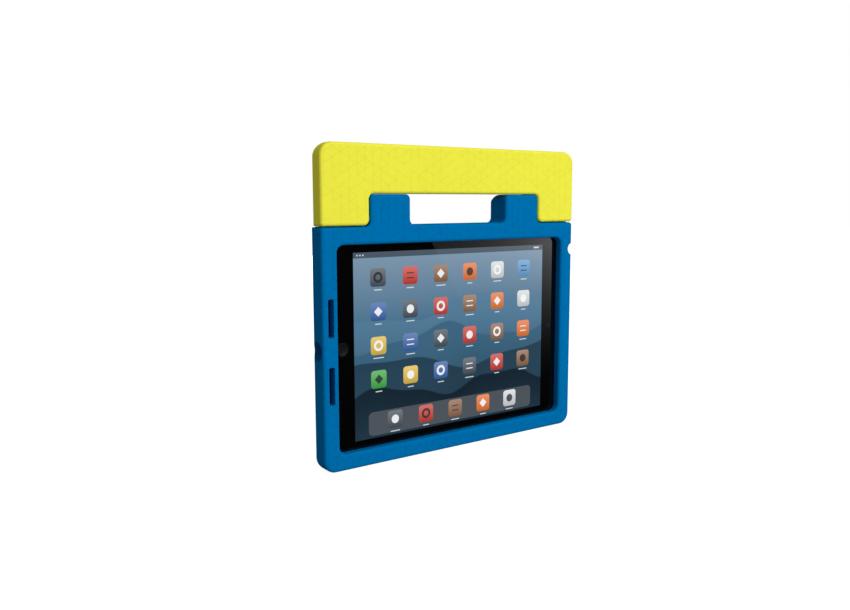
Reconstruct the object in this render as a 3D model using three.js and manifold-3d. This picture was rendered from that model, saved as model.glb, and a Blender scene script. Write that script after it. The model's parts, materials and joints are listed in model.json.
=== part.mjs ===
// A child's foam tablet case with a carrying handle that swings back to make a stand, and the tablet in it.
// Millimetres, +Z up. The front, with the screen, faces -Y. The origin is the middle of the bottom edge.

import * as THREE from 'three';
import Module from 'manifold-3d';
import { mergeVertices } from 'three/addons/utils/BufferGeometryUtils.js';

const wasm = await Module();
wasm.setup();

// Clearances
const seatGap = 0.3; // between the tablet and the foam, and round a fixed piece in its hole
const glueGap = 0.3; // between layers that are stuck together
const slideGap = 0.3; // round a button in its hole
const parting = 0.7; // between the sides of the posts and the handle's legs
const postTopGap = 0.8; // between the posts and the crossbar above them
const legGap = 0.9; // between the legs and the shoulders below them
const swingGap = 0.55; // between the swinging foam and what it passes
const cutPast = 2; // how far a cutter runs past the face that it cuts

// Tablet
const tabletWidth = 240;
const tabletHeight = 169.5;
const tabletThickness = 7.5;
const tabletCorner = 9;
const screenFromEnd = 21.5; // from the left and right edges of the tablet to its lit screen
const screenFromSide = 10.85; // from the top and bottom edges

// Foam case
const sideWall = 8.7;
const bottomWall = 8.4;
const topWall = 8.6;
const frontLip = 6.5;
const backWall = 6.6;
const lipCover = 4.5; // how far the lip reaches over the glass
const windowCorner = 6;
const bottomCorner = 10;
const shoulderCorner = 2.6;
const edgeRound = 2.5;
const sideBackRound = 8;
const saddleStep = 0.9; // how much higher the edge between the posts is than the shoulders

// Posts that carry the handle
const postWidth = 37.1;
const postHeight = 23.5;
const postCorner = 3.8;
const postRootRound = 4;
const handHoleRound = 4.5;

// Handle
const legWidth = 42;
const crossbarHeight = 37.5;
const handleBackRound = 10;
const handleBackRoundDepth = 14; // how far forwards that round begins
const handleBackCorner = 1; // what is left of the corner's radius where the back is flat
const crownStart = 8; // above the underside of the crossbar
const crownDrop = 5; // how much thinner the handle is at its top

// Hinge
const hingeBehindMiddle = 2.5;
const pinRadius = 3;
const pinInPost = 24;
const pinInLeg = 25;
const pinChamfer = 0.6;
const pinFit = 0.3;
const bushWall = 1.7;

// Openings in the foam
const slotWidth = 3.8;
const slotLength = 29;
const slotSpacing = 51.7; // between the middles of the two slots
const slotFromEdge = 6.7;
const slotCorner = 1.1;
const slotDepth = 13;
const portHoleRadius = 7.6;
const jackFromTop = 15.2; // from the top edge of the tablet to its headphone socket
const scoopRadius = 5.3;
const jackHoleRadius = 4;
const buttonWindowHeight = 7;
const buttonWindowMargin = 5; // past the ends of the buttons
const cameraHoleRadius = 8;

// Glass and screen
const glassThickness = 1;
const displayThickness = 1.8;
const displayBorder = 2;
const homeFromEdge = 11.5;
const homeRadius = 5.3;
const homeFlange = 0.7;
const homeSink = 0.25; // how far the button lies below the glass
const homeCapDepth = 1.75;
const homeFlangeThickness = 0.5;
const frontCameraFromEdge = 12.6;
const frontCameraRadius = 2.5;
const frontCameraDepth = 2.2;

// Rear shell
const shellWall = 1.5;
const shellFloor = 1.2;
const shellEdgeRound = 2;

// Buttons on the edges of the tablet
const buttonProud = 0.5;
const buttonThickness = 2.2;
const buttonFlangeThickness = 0.5;
const buttonFlangeStep = 0.7;
const powerFromBottom = 26;
const powerLength = 10;
const volumeLength = 11;
const volumeUpFromRight = 41;
const volumeStep = 13.5;
const switchFromRight = 26;
const switchLength = 3;
const switchTravel = 1.6;

// Pieces behind the shell's openings
const rearCameraInset = 12;
const rearCameraRadius = 4.2;
const rearCameraDepth = 5.4;
const rearCameraRecess = 0.5;
const rearCameraRim = 0.9;
const socketLength = 9;
const socketHeight = 3;
const socketDepth = 5.2;
const socketWall = 0.55;
const socketFloor = 1.4;
const jackBoreRadius = 1.75;
const jackBarrelRadius = 2.2;
const jackBarrelLength = 13;
const speakerLength = 26;
const speakerDepth = 8.5;
const speakerHoles = 8;
const speakerHoleRadius = 0.75;

// Battery and electronics
const batteryFromEdge = 22; // from the left edge of the tablet
const batteryFromEnd = 11.75; // from its top and bottom edges
const batteryGap = 2; // between the two cells
const batteryCorner = 2;
const boardWidth = 34;
const boardFromEdge = 26; // from the right edge of the tablet
const boardFromEnd = 14.75; // from its top and bottom edges
const boardThickness = 0.8;
const boardGap = 4; // between the battery and the board
const boardCorner = 2;
const shieldWidth = 24;
const shieldHeight = 90;
const shieldThickness = 1;
const shieldCorner = 1;
const screwInset = 2.9;
const screwHeadRadius = 1.3;
const screwHeadThickness = 0.5;
const screwRadius = 0.6;
const screwGrip = 0.9; // length of the screw in its boss
const bossRadius = 2.3;

// Levels from front to back
const depth = frontLip + seatGap + tabletThickness + seatGap + backWall;
const front = -depth / 2;
const back = depth / 2;
const pocketFront = front + frontLip;
const pocketBack = back - backWall;
const glassFront = pocketFront + seatGap;
const glassBack = glassFront + glassThickness;
const tabletBack = glassFront + tabletThickness;
const shellFront = glassBack + glueGap;
const floorFront = tabletBack - shellFloor;
const tabletMiddle = (shellFront + floorFront) / 2;
const displayFront = glassBack + glueGap;
const displayBack = displayFront + displayThickness;
const packFront = displayBack + glueGap;
const packBack = floorFront - glueGap;
const boardFront = packFront + shieldThickness + glueGap;
const boardBack = boardFront + boardThickness;
const bossFront = boardBack + glueGap;

// Levels from bottom to top
const width = tabletWidth + 2 * (seatGap + sideWall);
const tabletBottom = bottomWall + seatGap;
const tabletTop = tabletBottom + tabletHeight;
const screenHeight = tabletHeight - 2 * screenFromSide;
const batteryHeight = tabletHeight - 2 * batteryFromEnd;
const boardHeight = tabletHeight - 2 * boardFromEnd;
const screenMiddle = tabletBottom + tabletHeight / 2;
const shoulderTop = tabletTop + seatGap + topWall;
const saddleTop = shoulderTop + saddleStep;
const postTop = saddleTop + postHeight;
const legBottom = shoulderTop + legGap;
const crossbarBottom = postTop + postTopGap;
const handleTop = crossbarBottom + crossbarHeight;
const hingeHeight = (legBottom + crossbarBottom) / 2;

// Places from left to right
const legInner = width / 2 - legWidth;
const postOuter = legInner - parting;
const postInner = postOuter - postWidth;
const tabletSide = tabletWidth / 2;
const screenWidth = tabletWidth - 2 * screenFromEnd;
const displayWidth = screenWidth + 2 * displayBorder;
const displayHeight = screenHeight + 2 * displayBorder;
const homeX = homeFromEdge - tabletSide;
const frontCameraX = tabletSide - frontCameraFromEdge;
const boardLeft = tabletSide - boardFromEdge - boardWidth;
const boardMiddle = boardLeft + boardWidth / 2;
const batteryLeft = batteryFromEdge - tabletSide;
const batteryWidth = (boardLeft - boardGap - batteryLeft - batteryGap) / 2;

const smallArc = 3;
const roundArc = 12;
const bevelSteps = 4;
const mergeDistance = 1e-4;
const roundEndShare = 0.98; // a round end's radius, as a share of half the thickness, leaves a short flat

// Joins the loose triangles of a closed geometry into a solid, without the slivers at its poles and seams.
function solidFrom(geometry) {
  const bare = geometry.clone();
  bare.deleteAttribute('normal');
  bare.deleteAttribute('uv');
  const merged = mergeVertices(bare, mergeDistance);
  const corners = merged.index.array;
  const triangles = [];
  for (let start = 0; start < corners.length; start += 3) {
    const [a, b, c] = corners.slice(start, start + 3);
    if (a !== b && b !== c && c !== a) triangles.push(a, b, c);
  }
  return new wasm.Manifold(new wasm.Mesh({
    numProp: 3,
    vertProperties: new Float32Array(merged.attributes.position.array),
    triVerts: new Uint32Array(triangles),
  }));
}

function geometryFrom(solid) {
  const mesh = solid.getMesh();
  const geometry = new THREE.BufferGeometry();
  geometry.setAttribute('position', new THREE.BufferAttribute(mesh.vertProperties, 3));
  geometry.setIndex(new THREE.BufferAttribute(mesh.triVerts, 1));
  geometry.computeVertexNormals();
  return geometry;
}

// An outline through corners [across, up, radius], anticlockwise, with each corner rounded to its radius.
function outline(corners, path = new THREE.Shape()) {
  corners.forEach(([across, up, radius], index) => {
    const before = corners[(index + corners.length - 1) % corners.length];
    const after = corners[(index + 1) % corners.length];
    const corner = new THREE.Vector2(across, up);
    const toBefore = new THREE.Vector2(before[0], before[1]).sub(corner).normalize();
    const toAfter = new THREE.Vector2(after[0], after[1]).sub(corner).normalize();
    const halfAngle = Math.acos(toBefore.dot(toAfter)) / 2;
    const reach = radius / Math.tan(halfAngle);
    const centre = toBefore.clone().add(toAfter).normalize();
    centre.multiplyScalar(radius / Math.sin(halfAngle)).add(corner);
    const from = toBefore.clone().multiplyScalar(reach).add(corner).sub(centre).angle();
    const to = toAfter.clone().multiplyScalar(reach).add(corner).sub(centre).angle();
    if (radius > 0) {
      path.absarc(centre.x, centre.y, radius, from, to, toBefore.cross(toAfter) > 0);
    } else if (index === 0) {
      path.moveTo(across, up);
    } else {
      path.lineTo(across, up);
    }
  });
  return path;
}

function rectangle(left, bottom, right, top, radius, path) {
  return outline([
    [left, bottom, radius],
    [right, bottom, radius],
    [right, top, radius],
    [left, top, radius],
  ], path);
}

// A slab whose outline is seen from the front, with its front and back edges rounded.
function frontSlab(shape, from, to, round = 0, roundDepth = round) {
  const geometry = new THREE.ExtrudeGeometry(shape, {
    depth: to - from - 2 * roundDepth,
    bevelEnabled: round > 0,
    bevelThickness: roundDepth,
    bevelSize: round,
    bevelOffset: -round,
    bevelSegments: bevelSteps,
    curveSegments: smallArc,
  });
  geometry.translate(0, 0, roundDepth);
  geometry.rotateX(Math.PI / 2);
  geometry.translate(0, to, 0);
  return solidFrom(geometry);
}

// A bar whose outline is seen from above.
function planBar(shape, from, to) {
  const geometry = new THREE.ExtrudeGeometry(shape, {
    depth: to - from,
    bevelEnabled: false,
    curveSegments: smallArc,
  });
  geometry.translate(0, 0, from);
  return solidFrom(geometry);
}

// A bar whose outline, given as [back, up], is seen from the side.
function sideBar(shape, from, to) {
  const geometry = new THREE.ExtrudeGeometry(shape, {
    depth: to - from,
    bevelEnabled: false,
    curveSegments: smallArc,
  });
  const sideways = new THREE.Matrix4().makeBasis(
    new THREE.Vector3(0, 1, 0),
    new THREE.Vector3(0, 0, 1),
    new THREE.Vector3(1, 0, 0),
  );
  geometry.translate(0, 0, from);
  geometry.applyMatrix4(sideways);
  return solidFrom(geometry);
}

function block(left, right, near, far, bottom, top) {
  const geometry = new THREE.BoxGeometry(right - left, far - near, top - bottom);
  geometry.translate((left + right) / 2, (near + far) / 2, (bottom + top) / 2);
  return solidFrom(geometry);
}

// A round bar along X, Y or Z through the given middle of its cross-section.
function roundBar(axis, radius, from, to, first, second, segments = 2 * roundArc) {
  const geometry = new THREE.CylinderGeometry(radius, radius, to - from, segments);
  const middle = (from + to) / 2;
  if (axis === 'x') {
    geometry.rotateZ(-Math.PI / 2);
    geometry.translate(middle, first, second);
  } else if (axis === 'y') {
    geometry.translate(first, middle, second);
  } else {
    geometry.rotateX(Math.PI / 2);
    geometry.translate(first, second, middle);
  }
  return solidFrom(geometry);
}

// A solid of revolution about an axis along X, from a profile [radius, distance along X].
function turned(profile, height, behind, segments = 2 * roundArc) {
  const points = profile.map(([radius, along]) => new THREE.Vector2(radius, along));
  const geometry = new THREE.LatheGeometry(points, segments);
  geometry.rotateZ(-Math.PI / 2);
  geometry.translate(0, behind, height);
  return solidFrom(geometry);
}

// The round-ended drum that foam must stay inside to swing about the hinge.
function swingDrum(radius, from, to, endRound) {
  const profile = [[0, from]];
  for (let step = 0; step <= bevelSteps; step += 1) {
    const angle = (step / bevelSteps) * Math.PI / 2;
    profile.push([radius - endRound * (1 - Math.sin(angle)), from + endRound * (1 - Math.cos(angle))]);
  }
  for (let step = bevelSteps; step >= 0; step -= 1) {
    const angle = (step / bevelSteps) * Math.PI / 2;
    profile.push([radius - endRound * (1 - Math.sin(angle)), to - endRound * (1 - Math.cos(angle))]);
  }
  profile.push([0, to]);
  return turned(profile, hingeHeight, hingeBehindMiddle, 4 * roundArc);
}

// The full outline rounded on its back left and back right edges, as seen from above.
function backRoundedPlan(radius) {
  const side = width / 2;
  return outline([[-side, front, 0], [side, front, 0], [side, back, radius], [-side, back, radius]]);
}

// Foam case

function caseOutline() {
  const side = width / 2;
  return outline([
    [-side, 0, bottomCorner],
    [side, 0, bottomCorner],
    [side, shoulderTop, shoulderCorner],
    [postOuter, shoulderTop, postRootRound],
    [postOuter, postTop, postCorner],
    [postInner, postTop, postCorner],
    [postInner, saddleTop, handHoleRound],
    [-postInner, saddleTop, handHoleRound],
    [-postInner, postTop, postCorner],
    [-postOuter, postTop, postCorner],
    [-postOuter, shoulderTop, postRootRound],
    [-side, shoulderTop, shoulderCorner],
  ]);
}

function foamBlank() {
  const halfWindow = tabletSide - lipCover;
  const framed = caseOutline();
  framed.holes.push(rectangle(
    -halfWindow,
    tabletBottom + lipCover,
    halfWindow,
    tabletTop - lipCover,
    windowCorner,
    new THREE.Path(),
  ));
  const frame = frontSlab(framed, front, back, edgeRound);
  const backPlate = frontSlab(caseOutline(), pocketFront, back, edgeRound);
  const envelope = planBar(backRoundedPlan(sideBackRound), -cutPast, postTop + cutPast);
  const pocket = frontSlab(rectangle(
    -tabletSide - seatGap,
    tabletBottom - seatGap,
    tabletSide + seatGap,
    tabletTop + seatGap,
    tabletCorner + seatGap,
  ), pocketFront, pocketBack);
  return frame.add(backPlate).intersect(envelope).subtract(pocket);
}

// What the swinging crossbar needs cut from the back top corner of a post.
function postSwingCut(side) {
  const radius = crossbarBottom - hingeHeight - swingGap;
  const from = Math.min(side * postInner, side * postOuter);
  const to = Math.max(side * postInner, side * postOuter);
  const corner = block(
    from - parting / 2,
    to + parting / 2,
    hingeBehindMiddle,
    back + cutPast,
    hingeHeight,
    postTop + cutPast,
  );
  return corner.subtract(swingDrum(radius, from, to, postCorner));
}

function speakerSlot(side) {
  const middle = -width / 2 + slotFromEdge;
  const height = screenMiddle + side * slotSpacing / 2;
  const mouth = rectangle(
    middle - slotWidth / 2,
    height - slotLength / 2,
    middle + slotWidth / 2,
    height + slotLength / 2,
    slotCorner,
  );
  const toTablet = block(
    middle,
    -tabletSide,
    pocketFront,
    front + slotDepth,
    height - slotLength / 2 + slotCorner,
    height + slotLength / 2 - slotCorner,
  );
  return frontSlab(mouth, front - cutPast, front + slotDepth).add(toTablet);
}

// A window in a foam wall for the buttons on the tablet's edge, with round ends.
function powerWindow() {
  const middle = tabletBottom + powerFromBottom;
  const half = powerLength / 2 + buttonWindowMargin;
  const radius = buttonWindowHeight / 2;
  const shape = rectangle(
    tabletMiddle - radius,
    middle - half,
    tabletMiddle + radius,
    middle + half,
    radius * roundEndShare,
  );
  return sideBar(shape, tabletSide, width / 2 + cutPast);
}

function volumeWindow() {
  const right = tabletSide - switchFromRight + switchLength / 2 + buttonWindowMargin;
  const left = tabletSide - volumeUpFromRight - volumeStep - volumeLength / 2 - buttonWindowMargin;
  const radius = buttonWindowHeight / 2;
  const shape = rectangle(
    left,
    tabletMiddle - radius,
    right,
    tabletMiddle + radius,
    radius * roundEndShare,
  );
  return planBar(shape, -cutPast, tabletBottom);
}

function caseBody() {
  const jackHeight = tabletTop - jackFromTop;
  const bushBore = pinRadius + pinFit + bushWall + seatGap;
  const boreEnd = postOuter - pinInPost - seatGap;
  const cutters = [
    postSwingCut(-1),
    postSwingCut(1),
    speakerSlot(-1),
    speakerSlot(1),
    roundBar('x', portHoleRadius, -width / 2 - cutPast, -tabletSide, tabletMiddle, screenMiddle),
    roundBar('y', scoopRadius, front - cutPast, back + cutPast, width / 2, jackHeight),
    roundBar('x', jackHoleRadius, tabletSide, width / 2, tabletMiddle, jackHeight),
    powerWindow(),
    volumeWindow(),
    roundBar(
      'y',
      cameraHoleRadius,
      tabletBack,
      back + cutPast,
      tabletSide - rearCameraInset,
      tabletBottom + rearCameraInset,
    ),
    roundBar('x', bushBore, boreEnd, postOuter + cutPast, hingeBehindMiddle, hingeHeight),
    roundBar('x', bushBore, -postOuter - cutPast, -boreEnd, hingeBehindMiddle, hingeHeight),
  ];
  return cutters.reduce((foam, cutter) => foam.subtract(cutter), foamBlank());
}

// Handle

const handleCorner = handleBackRound + handleBackCorner;

function handleOutline() {
  const side = width / 2;
  const legCorner = postRootRound + parting;
  return outline([
    [-side, legBottom, shoulderCorner],
    [-legInner, legBottom, legCorner],
    [-legInner, crossbarBottom, postCorner + parting],
    [legInner, crossbarBottom, postCorner + parting],
    [legInner, legBottom, legCorner],
    [side, legBottom, shoulderCorner],
    [side, handleTop, handleCorner],
    [-side, handleTop, handleCorner],
  ]);
}

// The handle from the side: straight in front, and at the back drawn in towards its top.
function handleSide() {
  const crownBottom = crossbarBottom + crownStart;
  const shape = new THREE.Shape();
  shape.moveTo(front - cutPast, legBottom - cutPast);
  shape.lineTo(back, legBottom - cutPast);
  shape.lineTo(back, crownBottom);
  shape.quadraticCurveTo(back, (crownBottom + handleTop) / 2, back - crownDrop, handleTop);
  shape.lineTo(back - crownDrop, handleTop + cutPast);
  shape.lineTo(front - cutPast, handleTop + cutPast);
  return shape;
}

// A plain slab that the handle stays within, whose back edge and corners are rounded like a pillow's.
function handleEnvelope() {
  const side = width / 2;
  const below = legBottom - 2 * handleCorner;
  const shape = rectangle(-side, below, side, handleTop, handleCorner);
  const from = front - cutPast - handleBackRoundDepth;
  return frontSlab(shape, from, back, handleBackRound, handleBackRoundDepth);
}

// What the shoulder needs cut from the back bottom corner of a leg so that the leg can swing over it.
function legSwingCut(side) {
  const radius = hingeHeight - shoulderTop - swingGap;
  const endRound = postRootRound + parting;
  const from = side > 0 ? legInner : -width / 2 - endRound;
  const to = side > 0 ? width / 2 + endRound : -legInner;
  const corner = block(
    side > 0 ? legInner - parting / 2 : -width / 2 - cutPast,
    side > 0 ? width / 2 + cutPast : -legInner + parting / 2,
    hingeBehindMiddle,
    back + cutPast,
    legBottom - cutPast,
    hingeHeight,
  );
  return corner.subtract(swingDrum(radius, from, to, endRound));
}

function handle() {
  const pinBore = pinRadius + seatGap;
  const boreEnd = legInner + pinInLeg + seatGap;
  const blank = frontSlab(handleOutline(), front, back, edgeRound)
    .intersect(handleEnvelope())
    .intersect(sideBar(handleSide(), -width, width));
  const cutters = [
    legSwingCut(-1),
    legSwingCut(1),
    roundBar('x', pinBore, legInner - cutPast, boreEnd, hingeBehindMiddle, hingeHeight),
    roundBar('x', pinBore, -boreEnd, -legInner + cutPast, hingeBehindMiddle, hingeHeight),
  ];
  return cutters.reduce((foam, cutter) => foam.subtract(cutter), blank);
}

function hingePin(side) {
  const start = postOuter - pinInPost + glueGap;
  const end = legInner + pinInLeg;
  const from = side > 0 ? start : -end;
  const to = side > 0 ? end : -start;
  return turned([
    [0, from],
    [pinRadius - pinChamfer, from],
    [pinRadius, from + pinChamfer],
    [pinRadius, to - pinChamfer],
    [pinRadius - pinChamfer, to],
    [0, to],
  ], hingeHeight, hingeBehindMiddle);
}

function hingeBush(side) {
  const bore = pinRadius + pinFit;
  const from = side > 0 ? postOuter - pinInPost : -postOuter;
  const to = from + pinInPost;
  return turned([
    [bore, from],
    [bore + bushWall, from],
    [bore + bushWall, to],
    [bore, to],
    [bore, from],
  ], hingeHeight, hingeBehindMiddle);
}

// Tablet

function tabletOutline(inset, corner, path) {
  return rectangle(
    -tabletSide + inset,
    tabletBottom + inset,
    tabletSide - inset,
    tabletTop - inset,
    corner,
    path,
  );
}

// A bar with round ends and a thickness from front to back, that goes through the edge of the tablet.
// It is centred at a height on the right edge, or at a place across on the bottom edge.
function edgeBar(edge, middle, length, thickness, from, to) {
  const half = length / 2;
  const thin = thickness / 2;
  const radius = thin * roundEndShare;
  if (edge === 'right') {
    const shape = rectangle(tabletMiddle - thin, middle - half, tabletMiddle + thin, middle + half, radius);
    return sideBar(shape, tabletSide + from, tabletSide + to);
  }
  const shape = rectangle(middle - half, tabletMiddle - thin, middle + half, tabletMiddle + thin, radius);
  return planBar(shape, tabletBottom - to, tabletBottom - from);
}

const edgeButtons = [
  { name: 'power_button', edge: 'right', middle: tabletBottom + powerFromBottom, length: powerLength },
  { name: 'volume_up_button', edge: 'bottom', middle: tabletSide - volumeUpFromRight, length: volumeLength },
  {
    name: 'volume_down_button',
    edge: 'bottom',
    middle: tabletSide - volumeUpFromRight - volumeStep,
    length: volumeLength,
  },
];

function edgeButton({ edge, middle, length }) {
  const flangeFrom = -shellWall - slideGap - buttonFlangeThickness;
  const cap = edgeBar(edge, middle, length, buttonThickness, flangeFrom, buttonProud);
  const flange = edgeBar(
    edge,
    middle,
    length + 2 * buttonFlangeStep,
    buttonThickness + 2 * buttonFlangeStep,
    flangeFrom,
    flangeFrom + buttonFlangeThickness,
  );
  return cap.add(flange);
}

function sideSwitch() {
  const middle = tabletSide - switchFromRight;
  const flangeFrom = -shellWall - slideGap - buttonFlangeThickness;
  const cap = edgeBar('bottom', middle, switchLength, buttonThickness, flangeFrom, buttonProud);
  const base = edgeBar(
    'bottom',
    middle,
    switchLength + 2 * switchTravel,
    buttonThickness + 2 * buttonFlangeStep,
    flangeFrom,
    flangeFrom + buttonFlangeThickness,
  );
  return cap.add(base);
}

function screwPlaces() {
  const places = [];
  for (const side of [-1, 1]) {
    for (const end of [-1, 1]) {
      places.push([
        boardMiddle + side * (boardWidth / 2 - screwInset),
        screenMiddle + end * (boardHeight / 2 - screwInset),
      ]);
    }
  }
  return places;
}

function rearShell() {
  const blank = frontSlab(
    tabletOutline(0, tabletCorner), shellFront - shellEdgeRound, tabletBack, shellEdgeRound,
  );
  const rimCut = block(-tabletWidth, tabletWidth, front, shellFront, 0, handleTop);
  const inside = frontSlab(tabletOutline(shellWall, tabletCorner - shellWall), front, floorFront);
  const hole = slideGap * 2;
  const caps = edgeButtons.map(({ edge, middle, length }) => (
    edgeBar(edge, middle, length + hole, buttonThickness + hole, -shellWall - cutPast, buttonProud + cutPast)
  ));
  const switchSlot = edgeBar(
    'bottom',
    tabletSide - switchFromRight + switchTravel / 2,
    switchLength + switchTravel + hole,
    buttonThickness + hole,
    -shellWall - cutPast,
    buttonProud + cutPast,
  );
  const socketHole = block(
    -tabletSide - cutPast,
    -tabletSide + shellWall + cutPast,
    tabletMiddle - socketHeight / 2 - seatGap,
    tabletMiddle + socketHeight / 2 + seatGap,
    screenMiddle - socketLength / 2 - seatGap,
    screenMiddle + socketLength / 2 + seatGap,
  );
  const jackHeight = tabletTop - jackFromTop;
  const jackHole = roundBar(
    'x',
    jackBoreRadius + seatGap,
    tabletSide - shellWall - cutPast,
    tabletSide + cutPast,
    tabletMiddle,
    jackHeight,
  );
  const cameraHole = roundBar(
    'y',
    rearCameraRadius + seatGap,
    floorFront - cutPast,
    tabletBack + cutPast,
    tabletSide - rearCameraInset,
    tabletBottom + rearCameraInset,
  );
  const grille = [];
  for (const side of [-1, 1]) {
    for (let index = 0; index < speakerHoles; index += 1) {
      const offset = (index - (speakerHoles - 1) / 2) * (speakerLength / speakerHoles);
      const height = screenMiddle + side * slotSpacing / 2 + offset;
      grille.push(roundBar(
        'x',
        speakerHoleRadius,
        -tabletSide - cutPast,
        -tabletSide + shellWall + cutPast,
        tabletMiddle,
        height,
        roundArc,
      ));
    }
  }
  const openings = [rimCut, inside, ...caps, switchSlot, socketHole, jackHole, cameraHole, ...grille];
  const tray = openings.reduce((shell, cutter) => shell.subtract(cutter), blank);
  const screwHole = screwRadius + seatGap;
  return screwPlaces().reduce((shell, [across, up]) => {
    const boss = roundBar('y', bossRadius, bossFront, floorFront + shellFloor / 2, across, up);
    const boreBack = bossFront + screwGrip + seatGap;
    const bore = roundBar('y', screwHole, bossFront - cutPast, boreBack, across, up, roundArc);
    return shell.add(boss).subtract(bore);
  }, tray);
}

function coverGlass() {
  const glass = frontSlab(tabletOutline(glueGap, tabletCorner - glueGap), glassFront, glassBack);
  const homeHole = roundBar(
    'y', homeRadius + slideGap, glassFront - cutPast, glassBack + cutPast, homeX, screenMiddle,
  );
  return glass.subtract(homeHole);
}

function displayPanel() {
  const half = displayWidth / 2;
  return frontSlab(rectangle(
    -half, screenMiddle - displayHeight / 2, half, screenMiddle + displayHeight / 2, displayBorder,
  ), displayFront, displayBack);
}

function homeButton() {
  const capFront = glassFront + homeSink;
  const flangeBack = glassBack + slideGap + homeFlangeThickness;
  const cap = roundBar('y', homeRadius, capFront, capFront + homeCapDepth, homeX, screenMiddle);
  const flange = roundBar(
    'y', homeRadius + homeFlange, glassBack + slideGap, flangeBack, homeX, screenMiddle,
  );
  return cap.add(flange);
}

function frontCamera() {
  return roundBar(
    'y', frontCameraRadius, displayFront, displayFront + frontCameraDepth, frontCameraX, screenMiddle,
  );
}

function rearCamera() {
  const across = tabletSide - rearCameraInset;
  const up = tabletBottom + rearCameraInset;
  const body = roundBar('y', rearCameraRadius, tabletBack - rearCameraDepth, tabletBack, across, up);
  const lens = roundBar(
    'y', rearCameraRadius - rearCameraRim, tabletBack - rearCameraRecess, tabletBack + cutPast, across, up,
  );
  return body.subtract(lens);
}

function chargingSocket() {
  const mouth = -tabletSide;
  const body = block(
    mouth,
    mouth + socketDepth,
    tabletMiddle - socketHeight / 2,
    tabletMiddle + socketHeight / 2,
    screenMiddle - socketLength / 2,
    screenMiddle + socketLength / 2,
  );
  const slot = block(
    mouth - cutPast,
    mouth + socketDepth - socketFloor,
    tabletMiddle - socketHeight / 2 + socketWall,
    tabletMiddle + socketHeight / 2 - socketWall,
    screenMiddle - socketLength / 2 + socketWall,
    screenMiddle + socketLength / 2 - socketWall,
  );
  return body.subtract(slot);
}

function headphoneSocket() {
  const mouth = tabletSide - shellWall - seatGap;
  const height = tabletTop - jackFromTop;
  const barrel = roundBar('x', jackBarrelRadius, mouth - jackBarrelLength, mouth, tabletMiddle, height);
  const bore = roundBar(
    'x', jackBoreRadius, mouth - jackBarrelLength + socketFloor, mouth + cutPast, tabletMiddle, height,
  );
  return barrel.subtract(bore);
}

function speaker(side) {
  const left = -tabletSide + shellWall + seatGap;
  const middle = screenMiddle + side * slotSpacing / 2;
  const shape = rectangle(
    left, middle - speakerLength / 2, left + speakerDepth, middle + speakerLength / 2, slotCorner,
  );
  return frontSlab(shape, displayFront, packBack);
}

function batteryCell(index) {
  const left = batteryLeft + index * (batteryWidth + batteryGap);
  const shape = rectangle(
    left,
    screenMiddle - batteryHeight / 2,
    left + batteryWidth,
    screenMiddle + batteryHeight / 2,
    batteryCorner,
  );
  return frontSlab(shape, packFront, packBack);
}

function logicBoard() {
  const screwHole = screwRadius + seatGap;
  const blank = frontSlab(rectangle(
    boardLeft,
    screenMiddle - boardHeight / 2,
    boardLeft + boardWidth,
    screenMiddle + boardHeight / 2,
    boardCorner,
  ), boardFront, boardBack);
  return screwPlaces().reduce((board, [across, up]) => (
    board.subtract(roundBar('y', screwHole, boardFront - cutPast, boardBack + cutPast, across, up, roundArc))
  ), blank);
}

function shieldCan() {
  const half = shieldWidth / 2;
  return frontSlab(rectangle(
    boardMiddle - half,
    screenMiddle - shieldHeight / 2,
    boardMiddle + half,
    screenMiddle + shieldHeight / 2,
    shieldCorner,
  ), packFront, packFront + shieldThickness);
}

function boardScrew([across, up]) {
  const headBack = boardFront - glueGap;
  const head = roundBar('y', screwHeadRadius, headBack - screwHeadThickness, headBack, across, up, roundArc);
  const shank = roundBar(
    'y', screwRadius, headBack - screwHeadThickness / 2, bossFront + screwGrip, across, up, roundArc,
  );
  return head.add(shank);
}

// Materials: colour, roughness, metalness
const finishes = {
  blueFoam: ['#0a6fb5', 0.85, 0],
  yellowFoam: ['#ece948', 0.85, 0],
  hingeSteel: ['#a9adb3', 0.35, 1],
  bushPlastic: ['#2b2d30', 0.6, 0],
  aluminium: ['#b9bcc0', 0.4, 1],
  blackGlass: ['#08090b', 0.08, 0],
  display: ['#3f6a86', 0.3, 0],
  blackButton: ['#121316', 0.25, 0],
  lens: ['#15171c', 0.1, 0],
  socketMetal: ['#8d9197', 0.4, 1],
  blackPlastic: ['#1a1b1e', 0.6, 0],
  batteryFoil: ['#33363b', 0.45, 0],
  circuitBoard: ['#1e5a3c', 0.6, 0],
  shieldSteel: ['#a6abb0', 0.4, 1],
};

const assembly = new THREE.Group();

function place(name, solid, finish) {
  const [color, roughness, metalness] = finishes[finish];
  const mesh = new THREE.Mesh(
    geometryFrom(solid),
    new THREE.MeshStandardMaterial({ color, roughness, metalness }),
  );
  mesh.name = name;
  assembly.add(mesh);
}

place('case_body', caseBody(), 'blueFoam');
place('handle', handle(), 'yellowFoam');
for (const [label, side] of [['left', -1], ['right', 1]]) {
  place(`hinge_pin_${label}`, hingePin(side), 'hingeSteel');
  place(`hinge_bush_${label}`, hingeBush(side), 'bushPlastic');
}

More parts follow.
